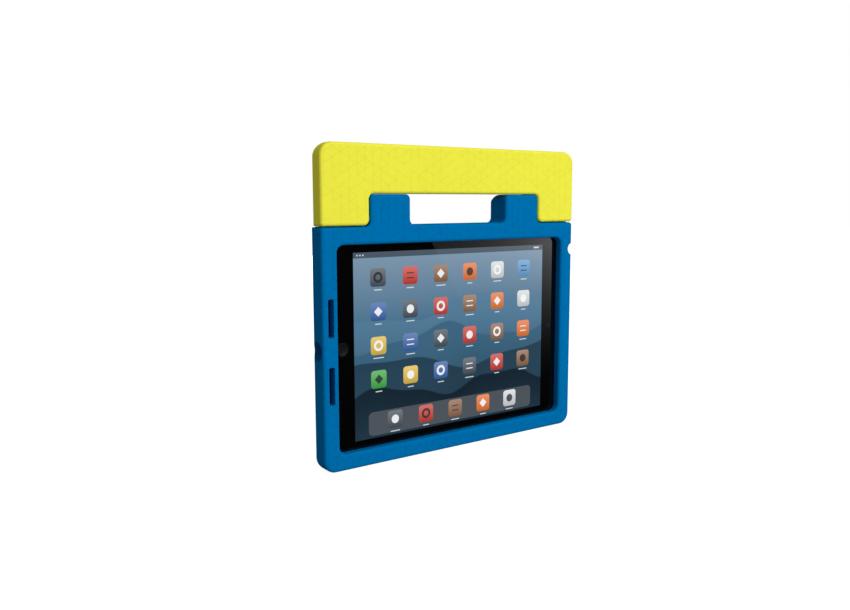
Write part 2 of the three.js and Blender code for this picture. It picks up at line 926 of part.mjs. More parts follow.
place('rear_shell', rearShell(), 'aluminium');
place('cover_glass', coverGlass(), 'blackGlass');
place('display_panel', displayPanel(), 'display');
place('home_button', homeButton(), 'blackButton');
place('front_camera', frontCamera(), 'lens');
place('rear_camera', rearCamera(), 'lens');
for (const button of edgeButtons) {
  place(button.name, edgeButton(button), 'aluminium');
}
place('side_switch', sideSwitch(), 'aluminium');
place('charging_socket', chargingSocket(), 'socketMetal');
place('headphone_socket', headphoneSocket(), 'blackPlastic');
place('speaker_upper', speaker(1), 'blackPlastic');
place('speaker_lower', speaker(-1), 'blackPlastic');
place('battery_cell_left', batteryCell(0), 'batteryFoil');
place('battery_cell_right', batteryCell(1), 'batteryFoil');
place('logic_board', logicBoard(), 'circuitBoard');
place('shield_can', shieldCan(), 'shieldSteel');
screwPlaces().forEach((screwPlace, index) => {
  place(`board_screw_${index + 1}`, boardScrew(screwPlace), 'shieldSteel');
});

export default assembly;
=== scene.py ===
"""A child's foam tablet case: two foam mouldings, the tablet in them, a studio floor and the camera.

Metres, +Z up. The front, with the screen, faces -Y. The origin is the middle of the bottom edge.
"""

import json
import math

import bmesh
import bpy
import numpy as np
from mathutils import Matrix, Vector

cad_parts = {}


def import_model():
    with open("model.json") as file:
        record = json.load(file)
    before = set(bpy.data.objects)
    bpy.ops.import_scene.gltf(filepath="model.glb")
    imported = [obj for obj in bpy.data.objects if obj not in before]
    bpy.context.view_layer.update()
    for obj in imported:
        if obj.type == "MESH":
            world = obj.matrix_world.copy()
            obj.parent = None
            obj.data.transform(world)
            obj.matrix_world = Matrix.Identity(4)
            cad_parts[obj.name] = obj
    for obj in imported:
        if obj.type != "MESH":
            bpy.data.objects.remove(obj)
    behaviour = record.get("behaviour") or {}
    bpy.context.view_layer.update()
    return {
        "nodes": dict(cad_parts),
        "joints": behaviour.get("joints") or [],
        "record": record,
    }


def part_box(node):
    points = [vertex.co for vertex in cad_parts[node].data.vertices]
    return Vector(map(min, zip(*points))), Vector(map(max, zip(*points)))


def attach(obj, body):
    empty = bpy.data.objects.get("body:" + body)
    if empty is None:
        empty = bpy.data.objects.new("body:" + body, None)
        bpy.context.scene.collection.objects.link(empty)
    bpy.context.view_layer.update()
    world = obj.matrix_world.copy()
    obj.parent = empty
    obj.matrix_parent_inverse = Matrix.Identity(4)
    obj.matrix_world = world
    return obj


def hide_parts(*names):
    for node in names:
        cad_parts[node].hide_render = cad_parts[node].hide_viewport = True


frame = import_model()

MM = 0.001

# Foam mouldings
EDGE_ROUND = 2.5 * MM
BOTTOM_CORNER = 10 * MM
SHOULDER_CORNER = 2.6 * MM
SIDE_BACK_ROUND = 9 * MM
HOLE_BACK_ROUND = 1 * MM
HANDLE_CORNER = 11 * MM
HANDLE_BACK_ROUND = 10 * MM
HANDLE_BACK_ROUND_DEPTH = 14 * MM
CROWN_START = 8 * MM
CROWN_DROP = 5 * MM
POST_CORNER = 3.8 * MM
POST_ROOT_ROUND = 4 * MM
HAND_HOLE_ROUND = 4.5 * MM
POST_WIDTH = 37.1 * MM
SADDLE_STEP = 0.9 * MM
PARTING = 0.7 * MM
POST_TOP_GAP = 0.8 * MM
LEG_GAP = 0.9 * MM
CLOSED_POST_GAP = 0.3 * MM
STEP_HEIGHT = 0.65 * MM
STEP_BEFORE_HINGE = 7.5 * MM
STEP_BEHIND_HINGE = 1 * MM
STEP_FROM_SIDE = 2.5 * MM
CUT_PAST = 2 * MM

# Pocket, window and openings in the foam
SEAT_GAP = 0.3 * MM
TABLET_CORNER = 9 * MM
LIP_COVER = 4.5 * MM
WINDOW_CORNER = 6 * MM
SLOT_WIDTH = 4.7 * MM
SLOT_LENGTH = 29 * MM
SLOT_FROM_EDGE = 7.1 * MM
SLOT_CORNER = 1.1 * MM
SLOT_DEPTH = 13 * MM
SLOT_LIP = 0.35 * MM
PORT_RADIUS = 7.6 * MM
SCOOP_RADIUS = 5.3 * MM
JACK_RADIUS = 4 * MM
BUTTON_WINDOW_HEIGHT = 7 * MM
BUTTON_WINDOW_MARGIN = 4.3 * MM
CAMERA_WINDOW_RADIUS = 8 * MM
HOLE_LIP = 0.8 * MM
BUSH_BORE = 5.3 * MM
PIN_BORE = 3.3 * MM

# Tablet
GLASS_EDGE = 0.25 * MM
HOME_RADIUS = 5.3 * MM
HOME_GAP = 0.3 * MM
HOME_FLANGE = 0.7 * MM
HOME_FLANGE_THICKNESS = 0.5 * MM
HOME_RIM = 0.45 * MM
HOME_DISH = 0.45 * MM
BUTTON_THICKNESS = 2.2 * MM
BUTTON_FLANGE_STEP = 0.7 * MM
BUTTON_FLANGE_THICKNESS = 0.5 * MM
BUTTON_EDGE = 0.35 * MM
LENS_RIM = 0.9 * MM
LENS_RECESS = 0.5 * MM
LENS_BULGE = 0.6

# How finely the surfaces are divided
ARC_STEPS = 16
ROUND_STEPS = 10
DRUM_STEPS = 96
BEND_STEPS = 24
DISH_STEPS = 24
LENS_STEPS = 20
INNERMOST_RING = 0.02
MERGE_DISTANCE = 1e-7
SHARP_EDGE = math.radians(32)

# Each view's directions across, up and along the line of sight
AXES = {"front": (0, 2, 1), "side": (1, 2, 0), "plan": (0, 1, 2)}

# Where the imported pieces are
case_low, case_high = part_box("case_body")
handle_low, handle_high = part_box("handle")
shell_low, shell_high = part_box("rear_shell")
glass_low, glass_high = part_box("cover_glass")
display_low, display_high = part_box("display_panel")
charging_low, charging_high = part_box("charging_socket")
headphone_low, headphone_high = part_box("headphone_socket")
home_low, home_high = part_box("home_button")
bush_low, bush_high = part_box("hinge_bush_right")
_, pin_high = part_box("hinge_pin_right")
hinge = next(Vector(joint["pos_m"]) for joint in frame["joints"] if joint["type"] == "hinge")

front = case_low.y
back = case_high.y
half_width = case_high.x
pocket_front = glass_low.y - SEAT_GAP
pocket_back = shell_high.y + SEAT_GAP
post_outer = bush_high.x
post_inner = post_outer - POST_WIDTH
leg_inner = post_outer + PARTING
handle_top = handle_high.z
saddle_top = handle_low.z - LEG_GAP + SADDLE_STEP

# The soft foam closes most of the clearance that the solids keep above the posts
post_parting = case_high.z + POST_TOP_GAP / 2
post_top = post_parting - CLOSED_POST_GAP / 2
crossbar_bottom = post_parting + CLOSED_POST_GAP / 2
leg_bottom = handle_low.z
shoulder_top = leg_bottom - LEG_GAP

# The tablet's middle from front to back, the middle of its screen and the height of its headphone jack
tablet_middle = (charging_low.y + charging_high.y) / 2
screen_middle = (shell_low.z + shell_high.z) / 2
jack_height = (headphone_low.z + headphone_high.z) / 2


# Shapes

def unit(rows):
    """Each row divided by its length."""
    return rows / np.linalg.norm(rows, axis=-1, keepdims=True)


def outline(corners, inset=0.0):
    """Points round a closed outline, anticlockwise, drawn in by inset.

    corners are rows [across, up, radius]. A corner is an arc whose centre lies on its bisector. It is the
    radius divided by the sine of half the angle away from the point. The arc's radius is radius - inset on a
    convex corner and radius + inset on a hollow one, so that every inset gives the same number of points."""
    corners = np.array(corners, float)
    point = corners[:, :2]
    radius = corners[:, 2:]
    to_before = unit(np.roll(point, 1, axis=0) - point)
    to_after = unit(np.roll(point, -1, axis=0) - point)
    along = np.sum(to_before * to_after, axis=1, keepdims=True)
    across = to_after[:, :1] * to_before[:, 1:] - to_after[:, 1:] * to_before[:, :1]
    centre = point + unit(to_before + to_after) * radius / np.sin(np.arccos(along) / 2)
    start = np.arctan2(to_before[:, :1], -to_before[:, 1:])
    turn = np.arctan2(across, -along)
    bulge = np.sign(turn)
    angle = start + turn * np.linspace(0, 1, ARC_STEPS + 1)
    reach = bulge * (radius - bulge * inset)
    rounded_x = centre[:, :1] + reach * np.cos(angle)
    rounded_y = centre[:, 1:] + reach * np.sin(angle)
    return np.stack([rounded_x, rounded_y], axis=-1).reshape(-1, 2)


def rectangle(left, bottom, right, top, radius=0.0):
    """The four corners of a rounded rectangle."""
    return [[left, bottom, radius], [right, bottom, radius], [right, top, radius], [left, top, radius]]


def disc(across, up, radius):
    """A circle, as the corners of a square that are rounded all the way."""
    return rectangle(across - radius, up - radius, across + radius, up + radius, radius)


def solid(name, loops):
    """A closed solid from loops of points [loop, point, xyz]: quads from each loop to the next, and a flat
    face on the first and on the last. Points that coincide are merged and the faces are turned outwards."""
    count, around = loops.shape[:2]
    index = np.arange(count * around).reshape(count, around)
    here = index[:-1]
    there = index[1:]
    quads = np.stack([here, np.roll(here, -1, axis=1), np.roll(there, -1, axis=1), there], axis=-1)
    faces = quads.reshape(-1, 4).tolist() + [index[0][::-1].tolist(), index[-1].tolist()]
    mesh = bpy.data.meshes.new(name)
    mesh.from_pydata(loops.reshape(-1, 3).tolist(), [], faces)
    edit = bmesh.new()
    edit.from_mesh(mesh)
    bmesh.ops.remove_doubles(edit, verts=edit.verts, dist=MERGE_DISTANCE)
    bmesh.ops.recalc_face_normals(edit, faces=edit.faces)
    edit.to_mesh(mesh)
    edit.free()
    piece = bpy.data.objects.new(name, mesh)
    bpy.context.scene.collection.objects.link(piece)
    return piece


def stacked(outlines, depths, view):
    """Loops of points: each outline, as seen in that view, at its own depth along the line of sight."""
    across, up, deep = AXES[view]
    outlines = np.array(outlines)
    loops = np.empty(outlines.shape[:2] + (3,))
    loops[..., across] = outlines[..., 0]
    loops[..., up] = outlines[..., 1]
    loops[..., deep] = np.reshape(depths, (-1, 1))
    return loops


def edge_levels(face, inward, edge_round, reach=None):
    """The quarter round of an edge, from its face inwards: [inset, depth] of each level.

    At an angle t from 0 to 90 degrees the inset is round (1 - sin t), and the level lies reach (1 - cos t)
    in from the face. The reach is the round too, unless the edge is a quarter of an ellipse."""
    steps = ROUND_STEPS if edge_round else 0
    turn = np.linspace(0 if edge_round else math.pi / 2, math.pi / 2, steps + 1)
    depth = face + inward * (reach or edge_round) * (1 - np.cos(turn))
    return np.stack([edge_round * (1 - np.sin(turn)), depth], axis=-1)


def slab(name, corners, near, far, near_round=0.0, far_round=0.0, view="front", far_reach=None):
    """A thick outline from near to far, with each edge rounded unless its round is 0."""
    near_levels = edge_levels(near, 1, near_round)
    far_levels = edge_levels(far, -1, far_round, far_reach)[::-1]
    levels = np.concatenate([near_levels, far_levels])
    return solid(name, stacked([outline(corners, inset) for inset, _ in levels], levels[:, 1], view))


def mouth(corners, face, floor, lip, view="front"):
    """What a hole takes out, from beyond its face to its floor. A quarter round opens it out at the face."""
    inward = math.copysign(1, floor - face)
    levels = edge_levels(face, inward, lip) * [-1, 1]
    levels = np.concatenate([[[-lip, face - inward * CUT_PAST]], levels, [[0, floor]]])
    return solid("mouth", stacked([outline(corners, inset) for inset, _ in levels], levels[:, 1], view))


def block(low, high):
    """A plain block between two corners, for cutting."""
    return slab("block", rectangle(low[0], low[1], high[0], high[1]), low[2], high[2], view="plan")


def turned(name, profile, centre, view):
    """A profile of rows [radius, depth] turned about the line of sight of a view through centre."""
    profile = np.array(profile, float)
    angle = np.linspace(0, 2 * math.pi, DRUM_STEPS, endpoint=False)
    ring = np.stack([np.cos(angle), np.sin(angle)], axis=-1)
    across, up, _ = AXES[view]
    middle = np.array([centre[across], centre[up]])
    return solid(name, stacked(middle + profile[:, :1, None] * ring, profile[:, 1], view))


def bend(start, control, end):
    """A quadratic curve: (1 - t)^2 start + 2 t (1 - t) control + t^2 end."""
    t = np.linspace(0, 1, BEND_STEPS + 1)[:, None]
    return (1 - t) ** 2 * np.array(start) + 2 * t * (1 - t) * np.array(control) + t**2 * np.array(end)


def carve(piece, cutter, operation="DIFFERENCE"):
    """Takes one solid from another, joins them or keeps what they share, and forgets the second."""
    change = piece.modifiers.new("carve", "BOOLEAN")
    change.operation = operation
    change.solver = "MANIFOLD"
    change.object = cutter
    carved = bpy.data.meshes.new_from_object(piece.evaluated_get(bpy.context.evaluated_depsgraph_get()))
    piece.modifiers.clear()
    piece.data = carved
    bpy.data.objects.remove(cutter)
    return piece


def smoothed(piece):
    """Smooth shading that keeps the flat faces flat and the edges over an angle sharp."""
    piece.data.shade_smooth()
    piece.data.set_sharp_from_angle(angle=SHARP_EDGE)
    weights = piece.modifiers.new("flat faces", "WEIGHTED_NORMAL")
    weights.keep_sharp = True
    return piece


def dressed(piece, body, node, finish):
    """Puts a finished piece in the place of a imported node, on its body, with its material."""
    piece.name = f"{node}_shape"
    piece.data.materials.clear()
    piece.data.materials.append(finish)
    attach(piece, body)
    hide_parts(node)
    return piece


# Foam case

def case_corners():
    """The case from the front, with its shoulders, its posts and the hand hole between them."""
    return [
        [-half_width, 0, BOTTOM_CORNER],
        [half_width, 0, BOTTOM_CORNER],
        [half_width, shoulder_top, SHOULDER_CORNER],
        [post_outer, shoulder_top, POST_ROOT_ROUND],
        [post_outer, post_top, POST_CORNER],
        [post_inner, post_top, POST_CORNER],
        [post_inner, saddle_top, HAND_HOLE_ROUND],
        [-post_inner, saddle_top, HAND_HOLE_ROUND],
        [-post_inner, post_top, POST_CORNER],
        [-post_outer, post_top, POST_CORNER],
        [-post_outer, shoulder_top, POST_ROOT_ROUND],
        [-half_width, shoulder_top, SHOULDER_CORNER],
    ]


def case_envelope():
    """A plain slab as wide as the case and taller, whose back edges and lower corners are rounded like a
    pillow's."""
    above = post_top + 2 * SIDE_BACK_ROUND
    corners = rectangle(-half_width, 0, half_width, above, BOTTOM_CORNER)
    return slab("envelope", corners, front - CUT_PAST, back, 0, SIDE_BACK_ROUND)


def hand_hole_edge():
    """The middle of the top edge, from post to post, with a smaller round on its back edge."""
    post_middle = (post_inner + post_outer) / 2
    edge = slab("edge", case_corners(), pocket_front, back, HOLE_BACK_ROUND, HOLE_BACK_ROUND)
    middle = block(
        (-post_middle, pocket_front + HOLE_BACK_ROUND, shell_high.z),
        (post_middle, back + CUT_PAST, post_top + CUT_PAST),
    )
    return carve(edge, middle, "INTERSECT")


def swing_drum(radius, start, end, end_round):
    """The round-ended drum about the hinge that the foam stays inside as it swings.

    Its ends are quarter rounds, radius - end_round (1 - sin t) at end_round (1 - cos t) from the end."""
    turn = np.linspace(0, math.pi / 2, ROUND_STEPS + 1)
    rim = radius - end_round * (1 - np.sin(turn))
    drawn = end_round * (1 - np.cos(turn))
    profile = np.concatenate([
        np.stack([rim, start + drawn], axis=-1),
        np.stack([rim, end - drawn], axis=-1)[::-1],
    ])
    return turned("drum", profile, hinge, "side")


def post_swing_cut(side):
    """What the swinging crossbar needs cut from the back top corner of a post."""
    radius = crossbar_bottom - hinge.z - CLOSED_POST_GAP
    start, end = sorted((side * post_inner, side * post_outer))
    corner = block(
        (start - PARTING / 2, hinge.y, hinge.z),
        (end + PARTING / 2, back + CUT_PAST, post_top + CUT_PAST),
    )
    return carve(corner, swing_drum(radius, start, end, POST_CORNER))


def shoulder_step(side):
    """A low step across the top of a shoulder, so that no light shows through the parting below the leg."""
    near, far = sorted((side * (post_outer - CUT_PAST), side * (half_width - STEP_FROM_SIDE)))
    return block(
        (near, hinge.y - STEP_BEFORE_HINGE, shoulder_top - CUT_PAST),
        (far, hinge.y + STEP_BEHIND_HINGE, shoulder_top + STEP_HEIGHT),
    )


def speaker_slot(name):
    """A slot in the front that turns sideways to the edge of the tablet."""
    low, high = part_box(name)
    height = (low.z + high.z) / 2
    middle = SLOT_FROM_EDGE - half_width
    half_slot = SLOT_LENGTH / 2
    floor = front + SLOT_DEPTH
    corners = rectangle(
        middle - SLOT_WIDTH / 2, height - half_slot, middle + SLOT_WIDTH / 2, height + half_slot, SLOT_CORNER
    )
    duct = block(
        (middle, pocket_front, height - half_slot + SLOT_CORNER),
        (shell_low.x, floor, height + half_slot - SLOT_CORNER),
    )
    return carve(mouth(corners, front, floor, SLOT_LIP), duct, "UNION")


def button_window(names, view):
    """A round-ended window in the foam beside some buttons on the edge of the tablet."""
    boxes = [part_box(name) for name in names]
    across = AXES[view][0 if view == "plan" else 1]
    start = min(low[across] for low, _ in boxes) - BUTTON_WINDOW_MARGIN
    end = max(high[across] for _, high in boxes) + BUTTON_WINDOW_MARGIN
    half_height = BUTTON_WINDOW_HEIGHT / 2
    near = tablet_middle - half_height
    far = tablet_middle + half_height
    if view == "plan":
        return mouth(rectangle(start, near, end, far, half_height), 0, shell_low.z, HOLE_LIP, view)
    return mouth(rectangle(near, start, far, end, half_height), half_width, shell_high.x, HOLE_LIP, view)


def case_openings():
    """Every hole in the case, from the pocket to the bores for the hinge."""
    window = rectangle(
        shell_low.x + LIP_COVER, shell_low.z + LIP_COVER, shell_high.x - LIP_COVER, shell_high.z - LIP_COVER,
        WINDOW_CORNER,
    )
    pocket = rectangle(
        shell_low.x - SEAT_GAP, shell_low.z - SEAT_GAP, shell_high.x + SEAT_GAP, shell_high.z + SEAT_GAP,
        TABLET_CORNER + SEAT_GAP,
    )
    lens_low, lens_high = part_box("rear_camera")
    lens = ((lens_low.x + lens_high.x) / 2, (lens_low.z + lens_high.z) / 2)
    bore = disc(hinge.y, hinge.z, BUSH_BORE)
    bore_end = bush_low.x - SEAT_GAP
    return [
        slab("pocket", pocket, pocket_front, pocket_back),
        mouth(window, front, pocket_front + CUT_PAST, EDGE_ROUND),
        post_swing_cut(-1),
        post_swing_cut(1),
        speaker_slot("speaker_lower"),
        speaker_slot("speaker_upper"),
        mouth(disc(tablet_middle, screen_middle, PORT_RADIUS), -half_width, shell_low.x, HOLE_LIP, "side"),
        slab("scoop", disc(half_width, jack_height, SCOOP_RADIUS), front - CUT_PAST, back + CUT_PAST),
        slab("jack", disc(tablet_middle, jack_height, JACK_RADIUS), shell_high.x, half_width, view="side"),
        button_window(["power_button"], "side"),
        button_window(["volume_down_button", "volume_up_button", "side_switch"], "plan"),
        mouth(disc(*lens, CAMERA_WINDOW_RADIUS), back, shell_high.y, HOLE_LIP),
        slab("bore", bore, bore_end, post_outer + CUT_PAST, view="side"),
        slab("bore", bore, -post_outer - CUT_PAST, -bore_end, view="side"),
    ]


def case_foam():
    """The blue moulding: a slab that keeps within its envelope, with a sharper back edge at the hand hole
    and a step on each shoulder, less its openings."""
    foam = slab("case_foam", case_corners(), front, back, EDGE_ROUND, EDGE_ROUND)
    carve(foam, hand_hole_edge(), "UNION")
    carve(foam, case_envelope(), "INTERSECT")
    carve(foam, shoulder_step(-1), "UNION")
    carve(foam, shoulder_step(1), "UNION")
    for opening in case_openings():
        carve(foam, opening)
    return smoothed(foam)


# Handle

def handle_corners():
    """The handle from the front: a crossbar and two legs."""
    leg_corner = POST_ROOT_ROUND + PARTING
    return [
        [-half_width, leg_bottom, SHOULDER_CORNER],
        [-leg_inner, leg_bottom, leg_corner],
        [-leg_inner, crossbar_bottom, POST_CORNER + PARTING],
        [leg_inner, crossbar_bottom, POST_CORNER + PARTING],
        [leg_inner, leg_bottom, leg_corner],
        [half_width, leg_bottom, SHOULDER_CORNER],
        [half_width, handle_top, HANDLE_CORNER],
        [-half_width, handle_top, HANDLE_CORNER],
    ]


def handle_envelope():
    """A plain slab that the handle stays within, whose back edge and corners are rounded like a pillow's."""
    corners = rectangle(-half_width, leg_bottom - 2 * HANDLE_CORNER, half_width, handle_top, HANDLE_CORNER)
    near = front - CUT_PAST
    return slab("envelope", corners, near, back, 0, HANDLE_BACK_ROUND, far_reach=HANDLE_BACK_ROUND_DEPTH)


def handle_crown():
    """The handle from the side: straight in front, and drawn in at the back by a quadratic curve up to its
    top."""
    crown_bottom = crossbar_bottom + CROWN_START
    top_back = back - CROWN_DROP
    near = front - CUT_PAST
    below = leg_bottom - CUT_PAST
    above = handle_top + CUT_PAST
    profile = np.concatenate([
        [[near, below], [back, below]],
        bend((back, crown_bottom), (back, (crown_bottom + handle_top) / 2), (top_back, handle_top)),
        [[top_back, above], [near, above]],
    ])
    reach = half_width + CUT_PAST
    return solid("crown", stacked([profile, profile], [-reach, reach], "side"))


def leg_swing_cut(side):
    """What the shoulder needs cut from the back bottom corner of a leg so that the leg can swing over it."""
    radius = hinge.z - leg_bottom
    end_round = POST_ROOT_ROUND + PARTING
    start, end = sorted((side * leg_inner, side * (half_width + end_round)))
    near, far = sorted((side * (leg_inner - PARTING / 2), side * (half_width + CUT_PAST)))
    corner = block((near, hinge.y, leg_bottom - CUT_PAST), (far, back + CUT_PAST, hinge.z))
    return carve(corner, swing_drum(radius, start, end, end_round))


def handle_foam():
    """The yellow moulding: a slab that keeps within its envelope and its crown, less what the legs need to
    swing and the two bores for the hinge pins."""
    foam = slab("handle_foam", handle_corners(), front, back, EDGE_ROUND, EDGE_ROUND)
    carve(foam, handle_envelope(), "INTERSECT")
    carve(foam, handle_crown(), "INTERSECT")
    bore = disc(hinge.y, hinge.z, PIN_BORE)
    bore_end = pin_high.x + SEAT_GAP
    cuts = [
        leg_swing_cut(-1),
        leg_swing_cut(1),
        slab("bore", bore, leg_inner - CUT_PAST, bore_end, view="side"),
        slab("bore", bore, -bore_end, CUT_PAST - leg_inner, view="side"),
    ]
    for cut in cuts:
        carve(foam, cut)
    return smoothed(foam)


# Tablet

def glass_plate():
    """The front glass with its hole for the home button."""
    corner = TABLET_CORNER - (glass_low.x - shell_low.x)
    corners = rectangle(glass_low.x, glass_low.z, glass_high.x, glass_high.z, corner)
    plate = slab("glass", corners, glass_low.y, glass_high.y, GLASS_EDGE, 0)
    home = (home_low.x + home_high.x) / 2
    hole = disc(home, screen_middle, HOME_RADIUS + HOME_GAP)
    return smoothed(carve(plate, mouth(hole, glass_low.y, glass_high.y + CUT_PAST, GLASS_EDGE)))


def home_key():
    """A dished button on a flange, turned. The dish is a parabola, deepest in the middle."""
    face = home_low.y
    rim = HOME_RADIUS - HOME_RIM
    flange_front = home_high.y - HOME_FLANGE_THICKNESS
    reach = np.linspace(INNERMOST_RING, 1, DISH_STEPS)
    dish = np.stack([rim * reach, face + HOME_DISH * (1 - reach**2)], axis=-1)
    turn = np.linspace(0, math.pi / 2, ROUND_STEPS + 1)
    edge = np.stack([rim + HOME_RIM * np.sin(turn), face + HOME_RIM * (1 - np.cos(turn))], axis=-1)
    profile = np.concatenate([
        dish,
        edge,
        [[HOME_RADIUS, flange_front]],
        [[HOME_RADIUS + HOME_FLANGE, flange_front], [HOME_RADIUS + HOME_FLANGE, home_high.y]],
    ])
    centre = ((home_low.x + home_high.x) / 2, 0, screen_middle)
    return smoothed(turned("home", profile, centre, "front"))


def rear_lens():
    """The rear camera: a rimmed barrel round a lens that bulges a little, turned. The lens is a parabola."""
    low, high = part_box("rear_camera")
    radius = (high.x - low.x) / 2
    bore = radius - LENS_RIM
    edge = BUTTON_EDGE
    reach = np.linspace(INNERMOST_RING, 1, LENS_STEPS)
    sunk = LENS_RECESS * (1 - LENS_BULGE + LENS_BULGE * reach**2)
    lens = np.stack([bore * reach, high.y - sunk], axis=-1)
    turn = np.linspace(0, math.pi / 2, ROUND_STEPS + 1)
    rim = np.stack([radius - edge + edge * np.sin(turn), high.y - edge * (1 - np.cos(turn))], axis=-1)
    profile = np.concatenate([lens, [[bore, high.y]], rim, [[radius, low.y]]])
    centre = ((low.x + high.x) / 2, 0, (low.z + high.z) / 2)
    return smoothed(turned("lens", profile, centre, "front"))


def edge_button(node, view):
    """A round-ended button whose cap, rounded at its outer edge, stands on a wider flange."""
    low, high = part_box(node)
    step = BUTTON_FLANGE_STEP
    thin = BUTTON_THICKNESS / 2
    if view == "side":
        cap = rectangle(tablet_middle - thin, low.z + step, tablet_middle + thin, high.z - step, thin)
        flange = rectangle(low.y, low.z, high.y, high.z, thin + step)
        key = slab("key", cap, low.x, high.x, 0, BUTTON_EDGE, view)
        plate = slab("flange", flange, low.x, low.x + BUTTON_FLANGE_THICKNESS, view=view)
    else:
        cap = rectangle(low.x + step, tablet_middle - thin, high.x - step, tablet_middle + thin, thin)
        flange = rectangle(low.x, low.y, high.x, high.y, thin + step)
        key = slab("key", cap, low.z, high.z, BUTTON_EDGE, 0, view)
        plate = slab("flange", flange, high.z - BUTTON_FLANGE_THICKNESS, high.z, view=view)
    return smoothed(carve(key, plate, "UNION"))


# Materials

class Shade:
    """One output socket of a shader. Python's operators add the Math node that they name."""

    def __init__(self, paint, socket):
        self.paint = paint
        self.socket = socket

    def math(self, operation, *others):
        inputs = dict(enumerate((self, *others)))
        return self.paint.node("Math", {"operation": operation}, inputs)

    def __add__(self, other):
        return self.math("ADD", other)

    def __radd__(self, other):
        return self.math("ADD", other)

    def __sub__(self, other):
        return self.math("SUBTRACT", other)

    def __rsub__(self, other):
        return (self * -1) + other

    def __mul__(self, other):
        return self.math("MULTIPLY", other)

    def __rmul__(self, other):
        return self.math("MULTIPLY", other)

    def __truediv__(self, other):
        return self.math("DIVIDE", other)

    def __abs__(self):
        return self.math("ABSOLUTE")

    def __gt__(self, other):
        return self.math("GREATER_THAN", other)

    def __mod__(self, other):
        return self.math("FLOORED_MODULO", other)

    def floor(self):
        return self.math("FLOOR")

    def sine(self):
        return self.math("SINE")

    def root(self):
        return self.math("SQRT")

    def above(self, other):
        return self.math("MAXIMUM", other)

    def below(self, other):
        return self.math("MINIMUM", other)

    def clamp(self):
        return self.above(0).below(1)


class Paint:
    """A material in the making."""

    def __init__(self, owner):
        self.owner = owner
        owner.use_nodes = True
        self.tree = owner.node_tree
        self.tree.nodes.clear()

    def node(self, kind, settings, inputs, output=0):
        """Adds a node with its settings, then fills its sockets, by name or number, with values or links."""
        node = self.tree.nodes.new(f"ShaderNode{kind}")
        for key, value in settings.items():
            if key == "stops":
                fill_ramp(node.color_ramp, value)
            else:
                setattr(node, key, value)
        for key, value in inputs.items():
            if isinstance(value, Shade):
                self.tree.links.new(value.socket, node.inputs[key])
            else:
                node.inputs[key].default_value = value
        return Shade(self, node.outputs[output]) if node.outputs else None

    def place(self):
        """Across, back and up on the object, in millimetres."""
        here = self.node("TexCoord", {}, {}, "Object")
        return [self.node("SeparateXYZ", {}, {0: here}, axis) * (1 / MM) for axis in range(3)]

    def noise(self, per_metre, detail=2.0):
        """Soft noise from 0 to 1, with so many features a metre."""
        here = self.node("TexCoord", {}, {}, "Object")
        return self.node("TexNoise", {}, {"Vector": here, "Scale": per_metre, "Detail": detail})

    def hash(self, *numbers):
        """A fixed random number from 0 to 1 for each set of whole numbers."""
        seat = self.node("CombineXYZ", {}, dict(enumerate(numbers)))
        return self.node("TexWhiteNoise", {"noise_dimensions": "3D"}, {"Vector": seat})

    def mix(self, share, first, second):
        """One colour, or so much of another over it."""
        return self.node("Mix", {"data_type": "RGBA"}, {0: share, 6: first, 7: second}, 2)

    def ramp(self, share, stops, interpolation="LINEAR"):
        """The colour of a ramp at a share of its length."""
        return self.node("ValToRGB", {"stops": (interpolation, stops)}, {0: share})

    def bump(self, height, distance):
        """Relief that rises by the distance, in metres, where the height is 1."""
        return self.node("Bump", {}, {"Height": height, "Distance": distance, "Strength": 1.0})

    def surface(self, **inputs):
        """Ends the material with one Principled surface."""
        named = {key.replace("_", " ").title().replace("Ior", "IOR"): value for key, value in inputs.items()}
        shader = self.node("BsdfPrincipled", {}, named)
        self.node("OutputMaterial", {}, {"Surface": shader})
        return self.owner


def fill_ramp(ramp, value):
    """Sets the stops of a colour ramp, given as rows (place, colour)."""
    ramp.interpolation, stops = value
    ramp.elements.remove(ramp.elements[1])
    ramp.elements[0].position = stops[0][0]
    for place, _ in stops[1:]:
        ramp.elements.new(place)
    for element, (_, colour) in zip(ramp.elements, stops):
        element.color = colour


def rgb(red, green, blue):
    """A colour written as on a screen, as the linear numbers that a shader holds."""
    channels = [value / 255 for value in (red, green, blue)]
    return tuple(c / 12.92 if c <= 0.04045 else ((c + 0.055) / 1.055) ** 2.4 for c in channels) + (1.0,)


def scaled(colour, share):
    """A colour made darker or lighter."""
    return tuple(c * share for c in colour[:3]) + (1.0,)


BLACK = rgb(0, 0, 0)
WHITE = rgb(255, 255, 255)

# Engraved foam, with its lengths and depths in millimetres
LINE_SPACING = 7.0
LINE_HALF_WIDTH = 0.34
LINES_LEFT_OUT = 0.3
SLANTING_LINES = 0.8
FACING_SHARPNESS = 8
# How dark the painted shade in the engraved grooves makes the foam's colour
GROOVE_SHADE = 0.7
GROOVE_DEPTH = 0.1
PORE_DEPTH = 0.05
SKIN_DEPTH = 0.03


def engraved_lines(paint, across, up):
    """Grooves along the edges of a net of triangles, some of them left out: 1 in a groove and 0 beside it.

    Each of three families of lines is turned by 60 degrees. With p counted in lines, and s along a line in
    sides of a triangle, the edge's number is (round p, floor(s + round p / 2)). That number decides if the
    edge is there."""
    side = LINE_SPACING / math.cos(math.radians(30))
    groove = None
    for family in range(3):
        turn = math.radians(60 * family)
        p = (across * math.cos(turn) + up * math.sin(turn)) / LINE_SPACING
        s = (up * math.cos(turn) - across * math.sin(turn)) / side
        line = (p + 0.5).floor()
        edge = (s + line * 0.5).floor()
        there = paint.hash(line, edge, family + 0.5) > LINES_LEFT_OUT
        near = (1 - abs(p - line) * (LINE_SPACING / LINE_HALF_WIDTH)).clamp()
        cut = near * there * (SLANTING_LINES if family else 1)
        groove = cut if groove is None else groove.above(cut)
    return groove


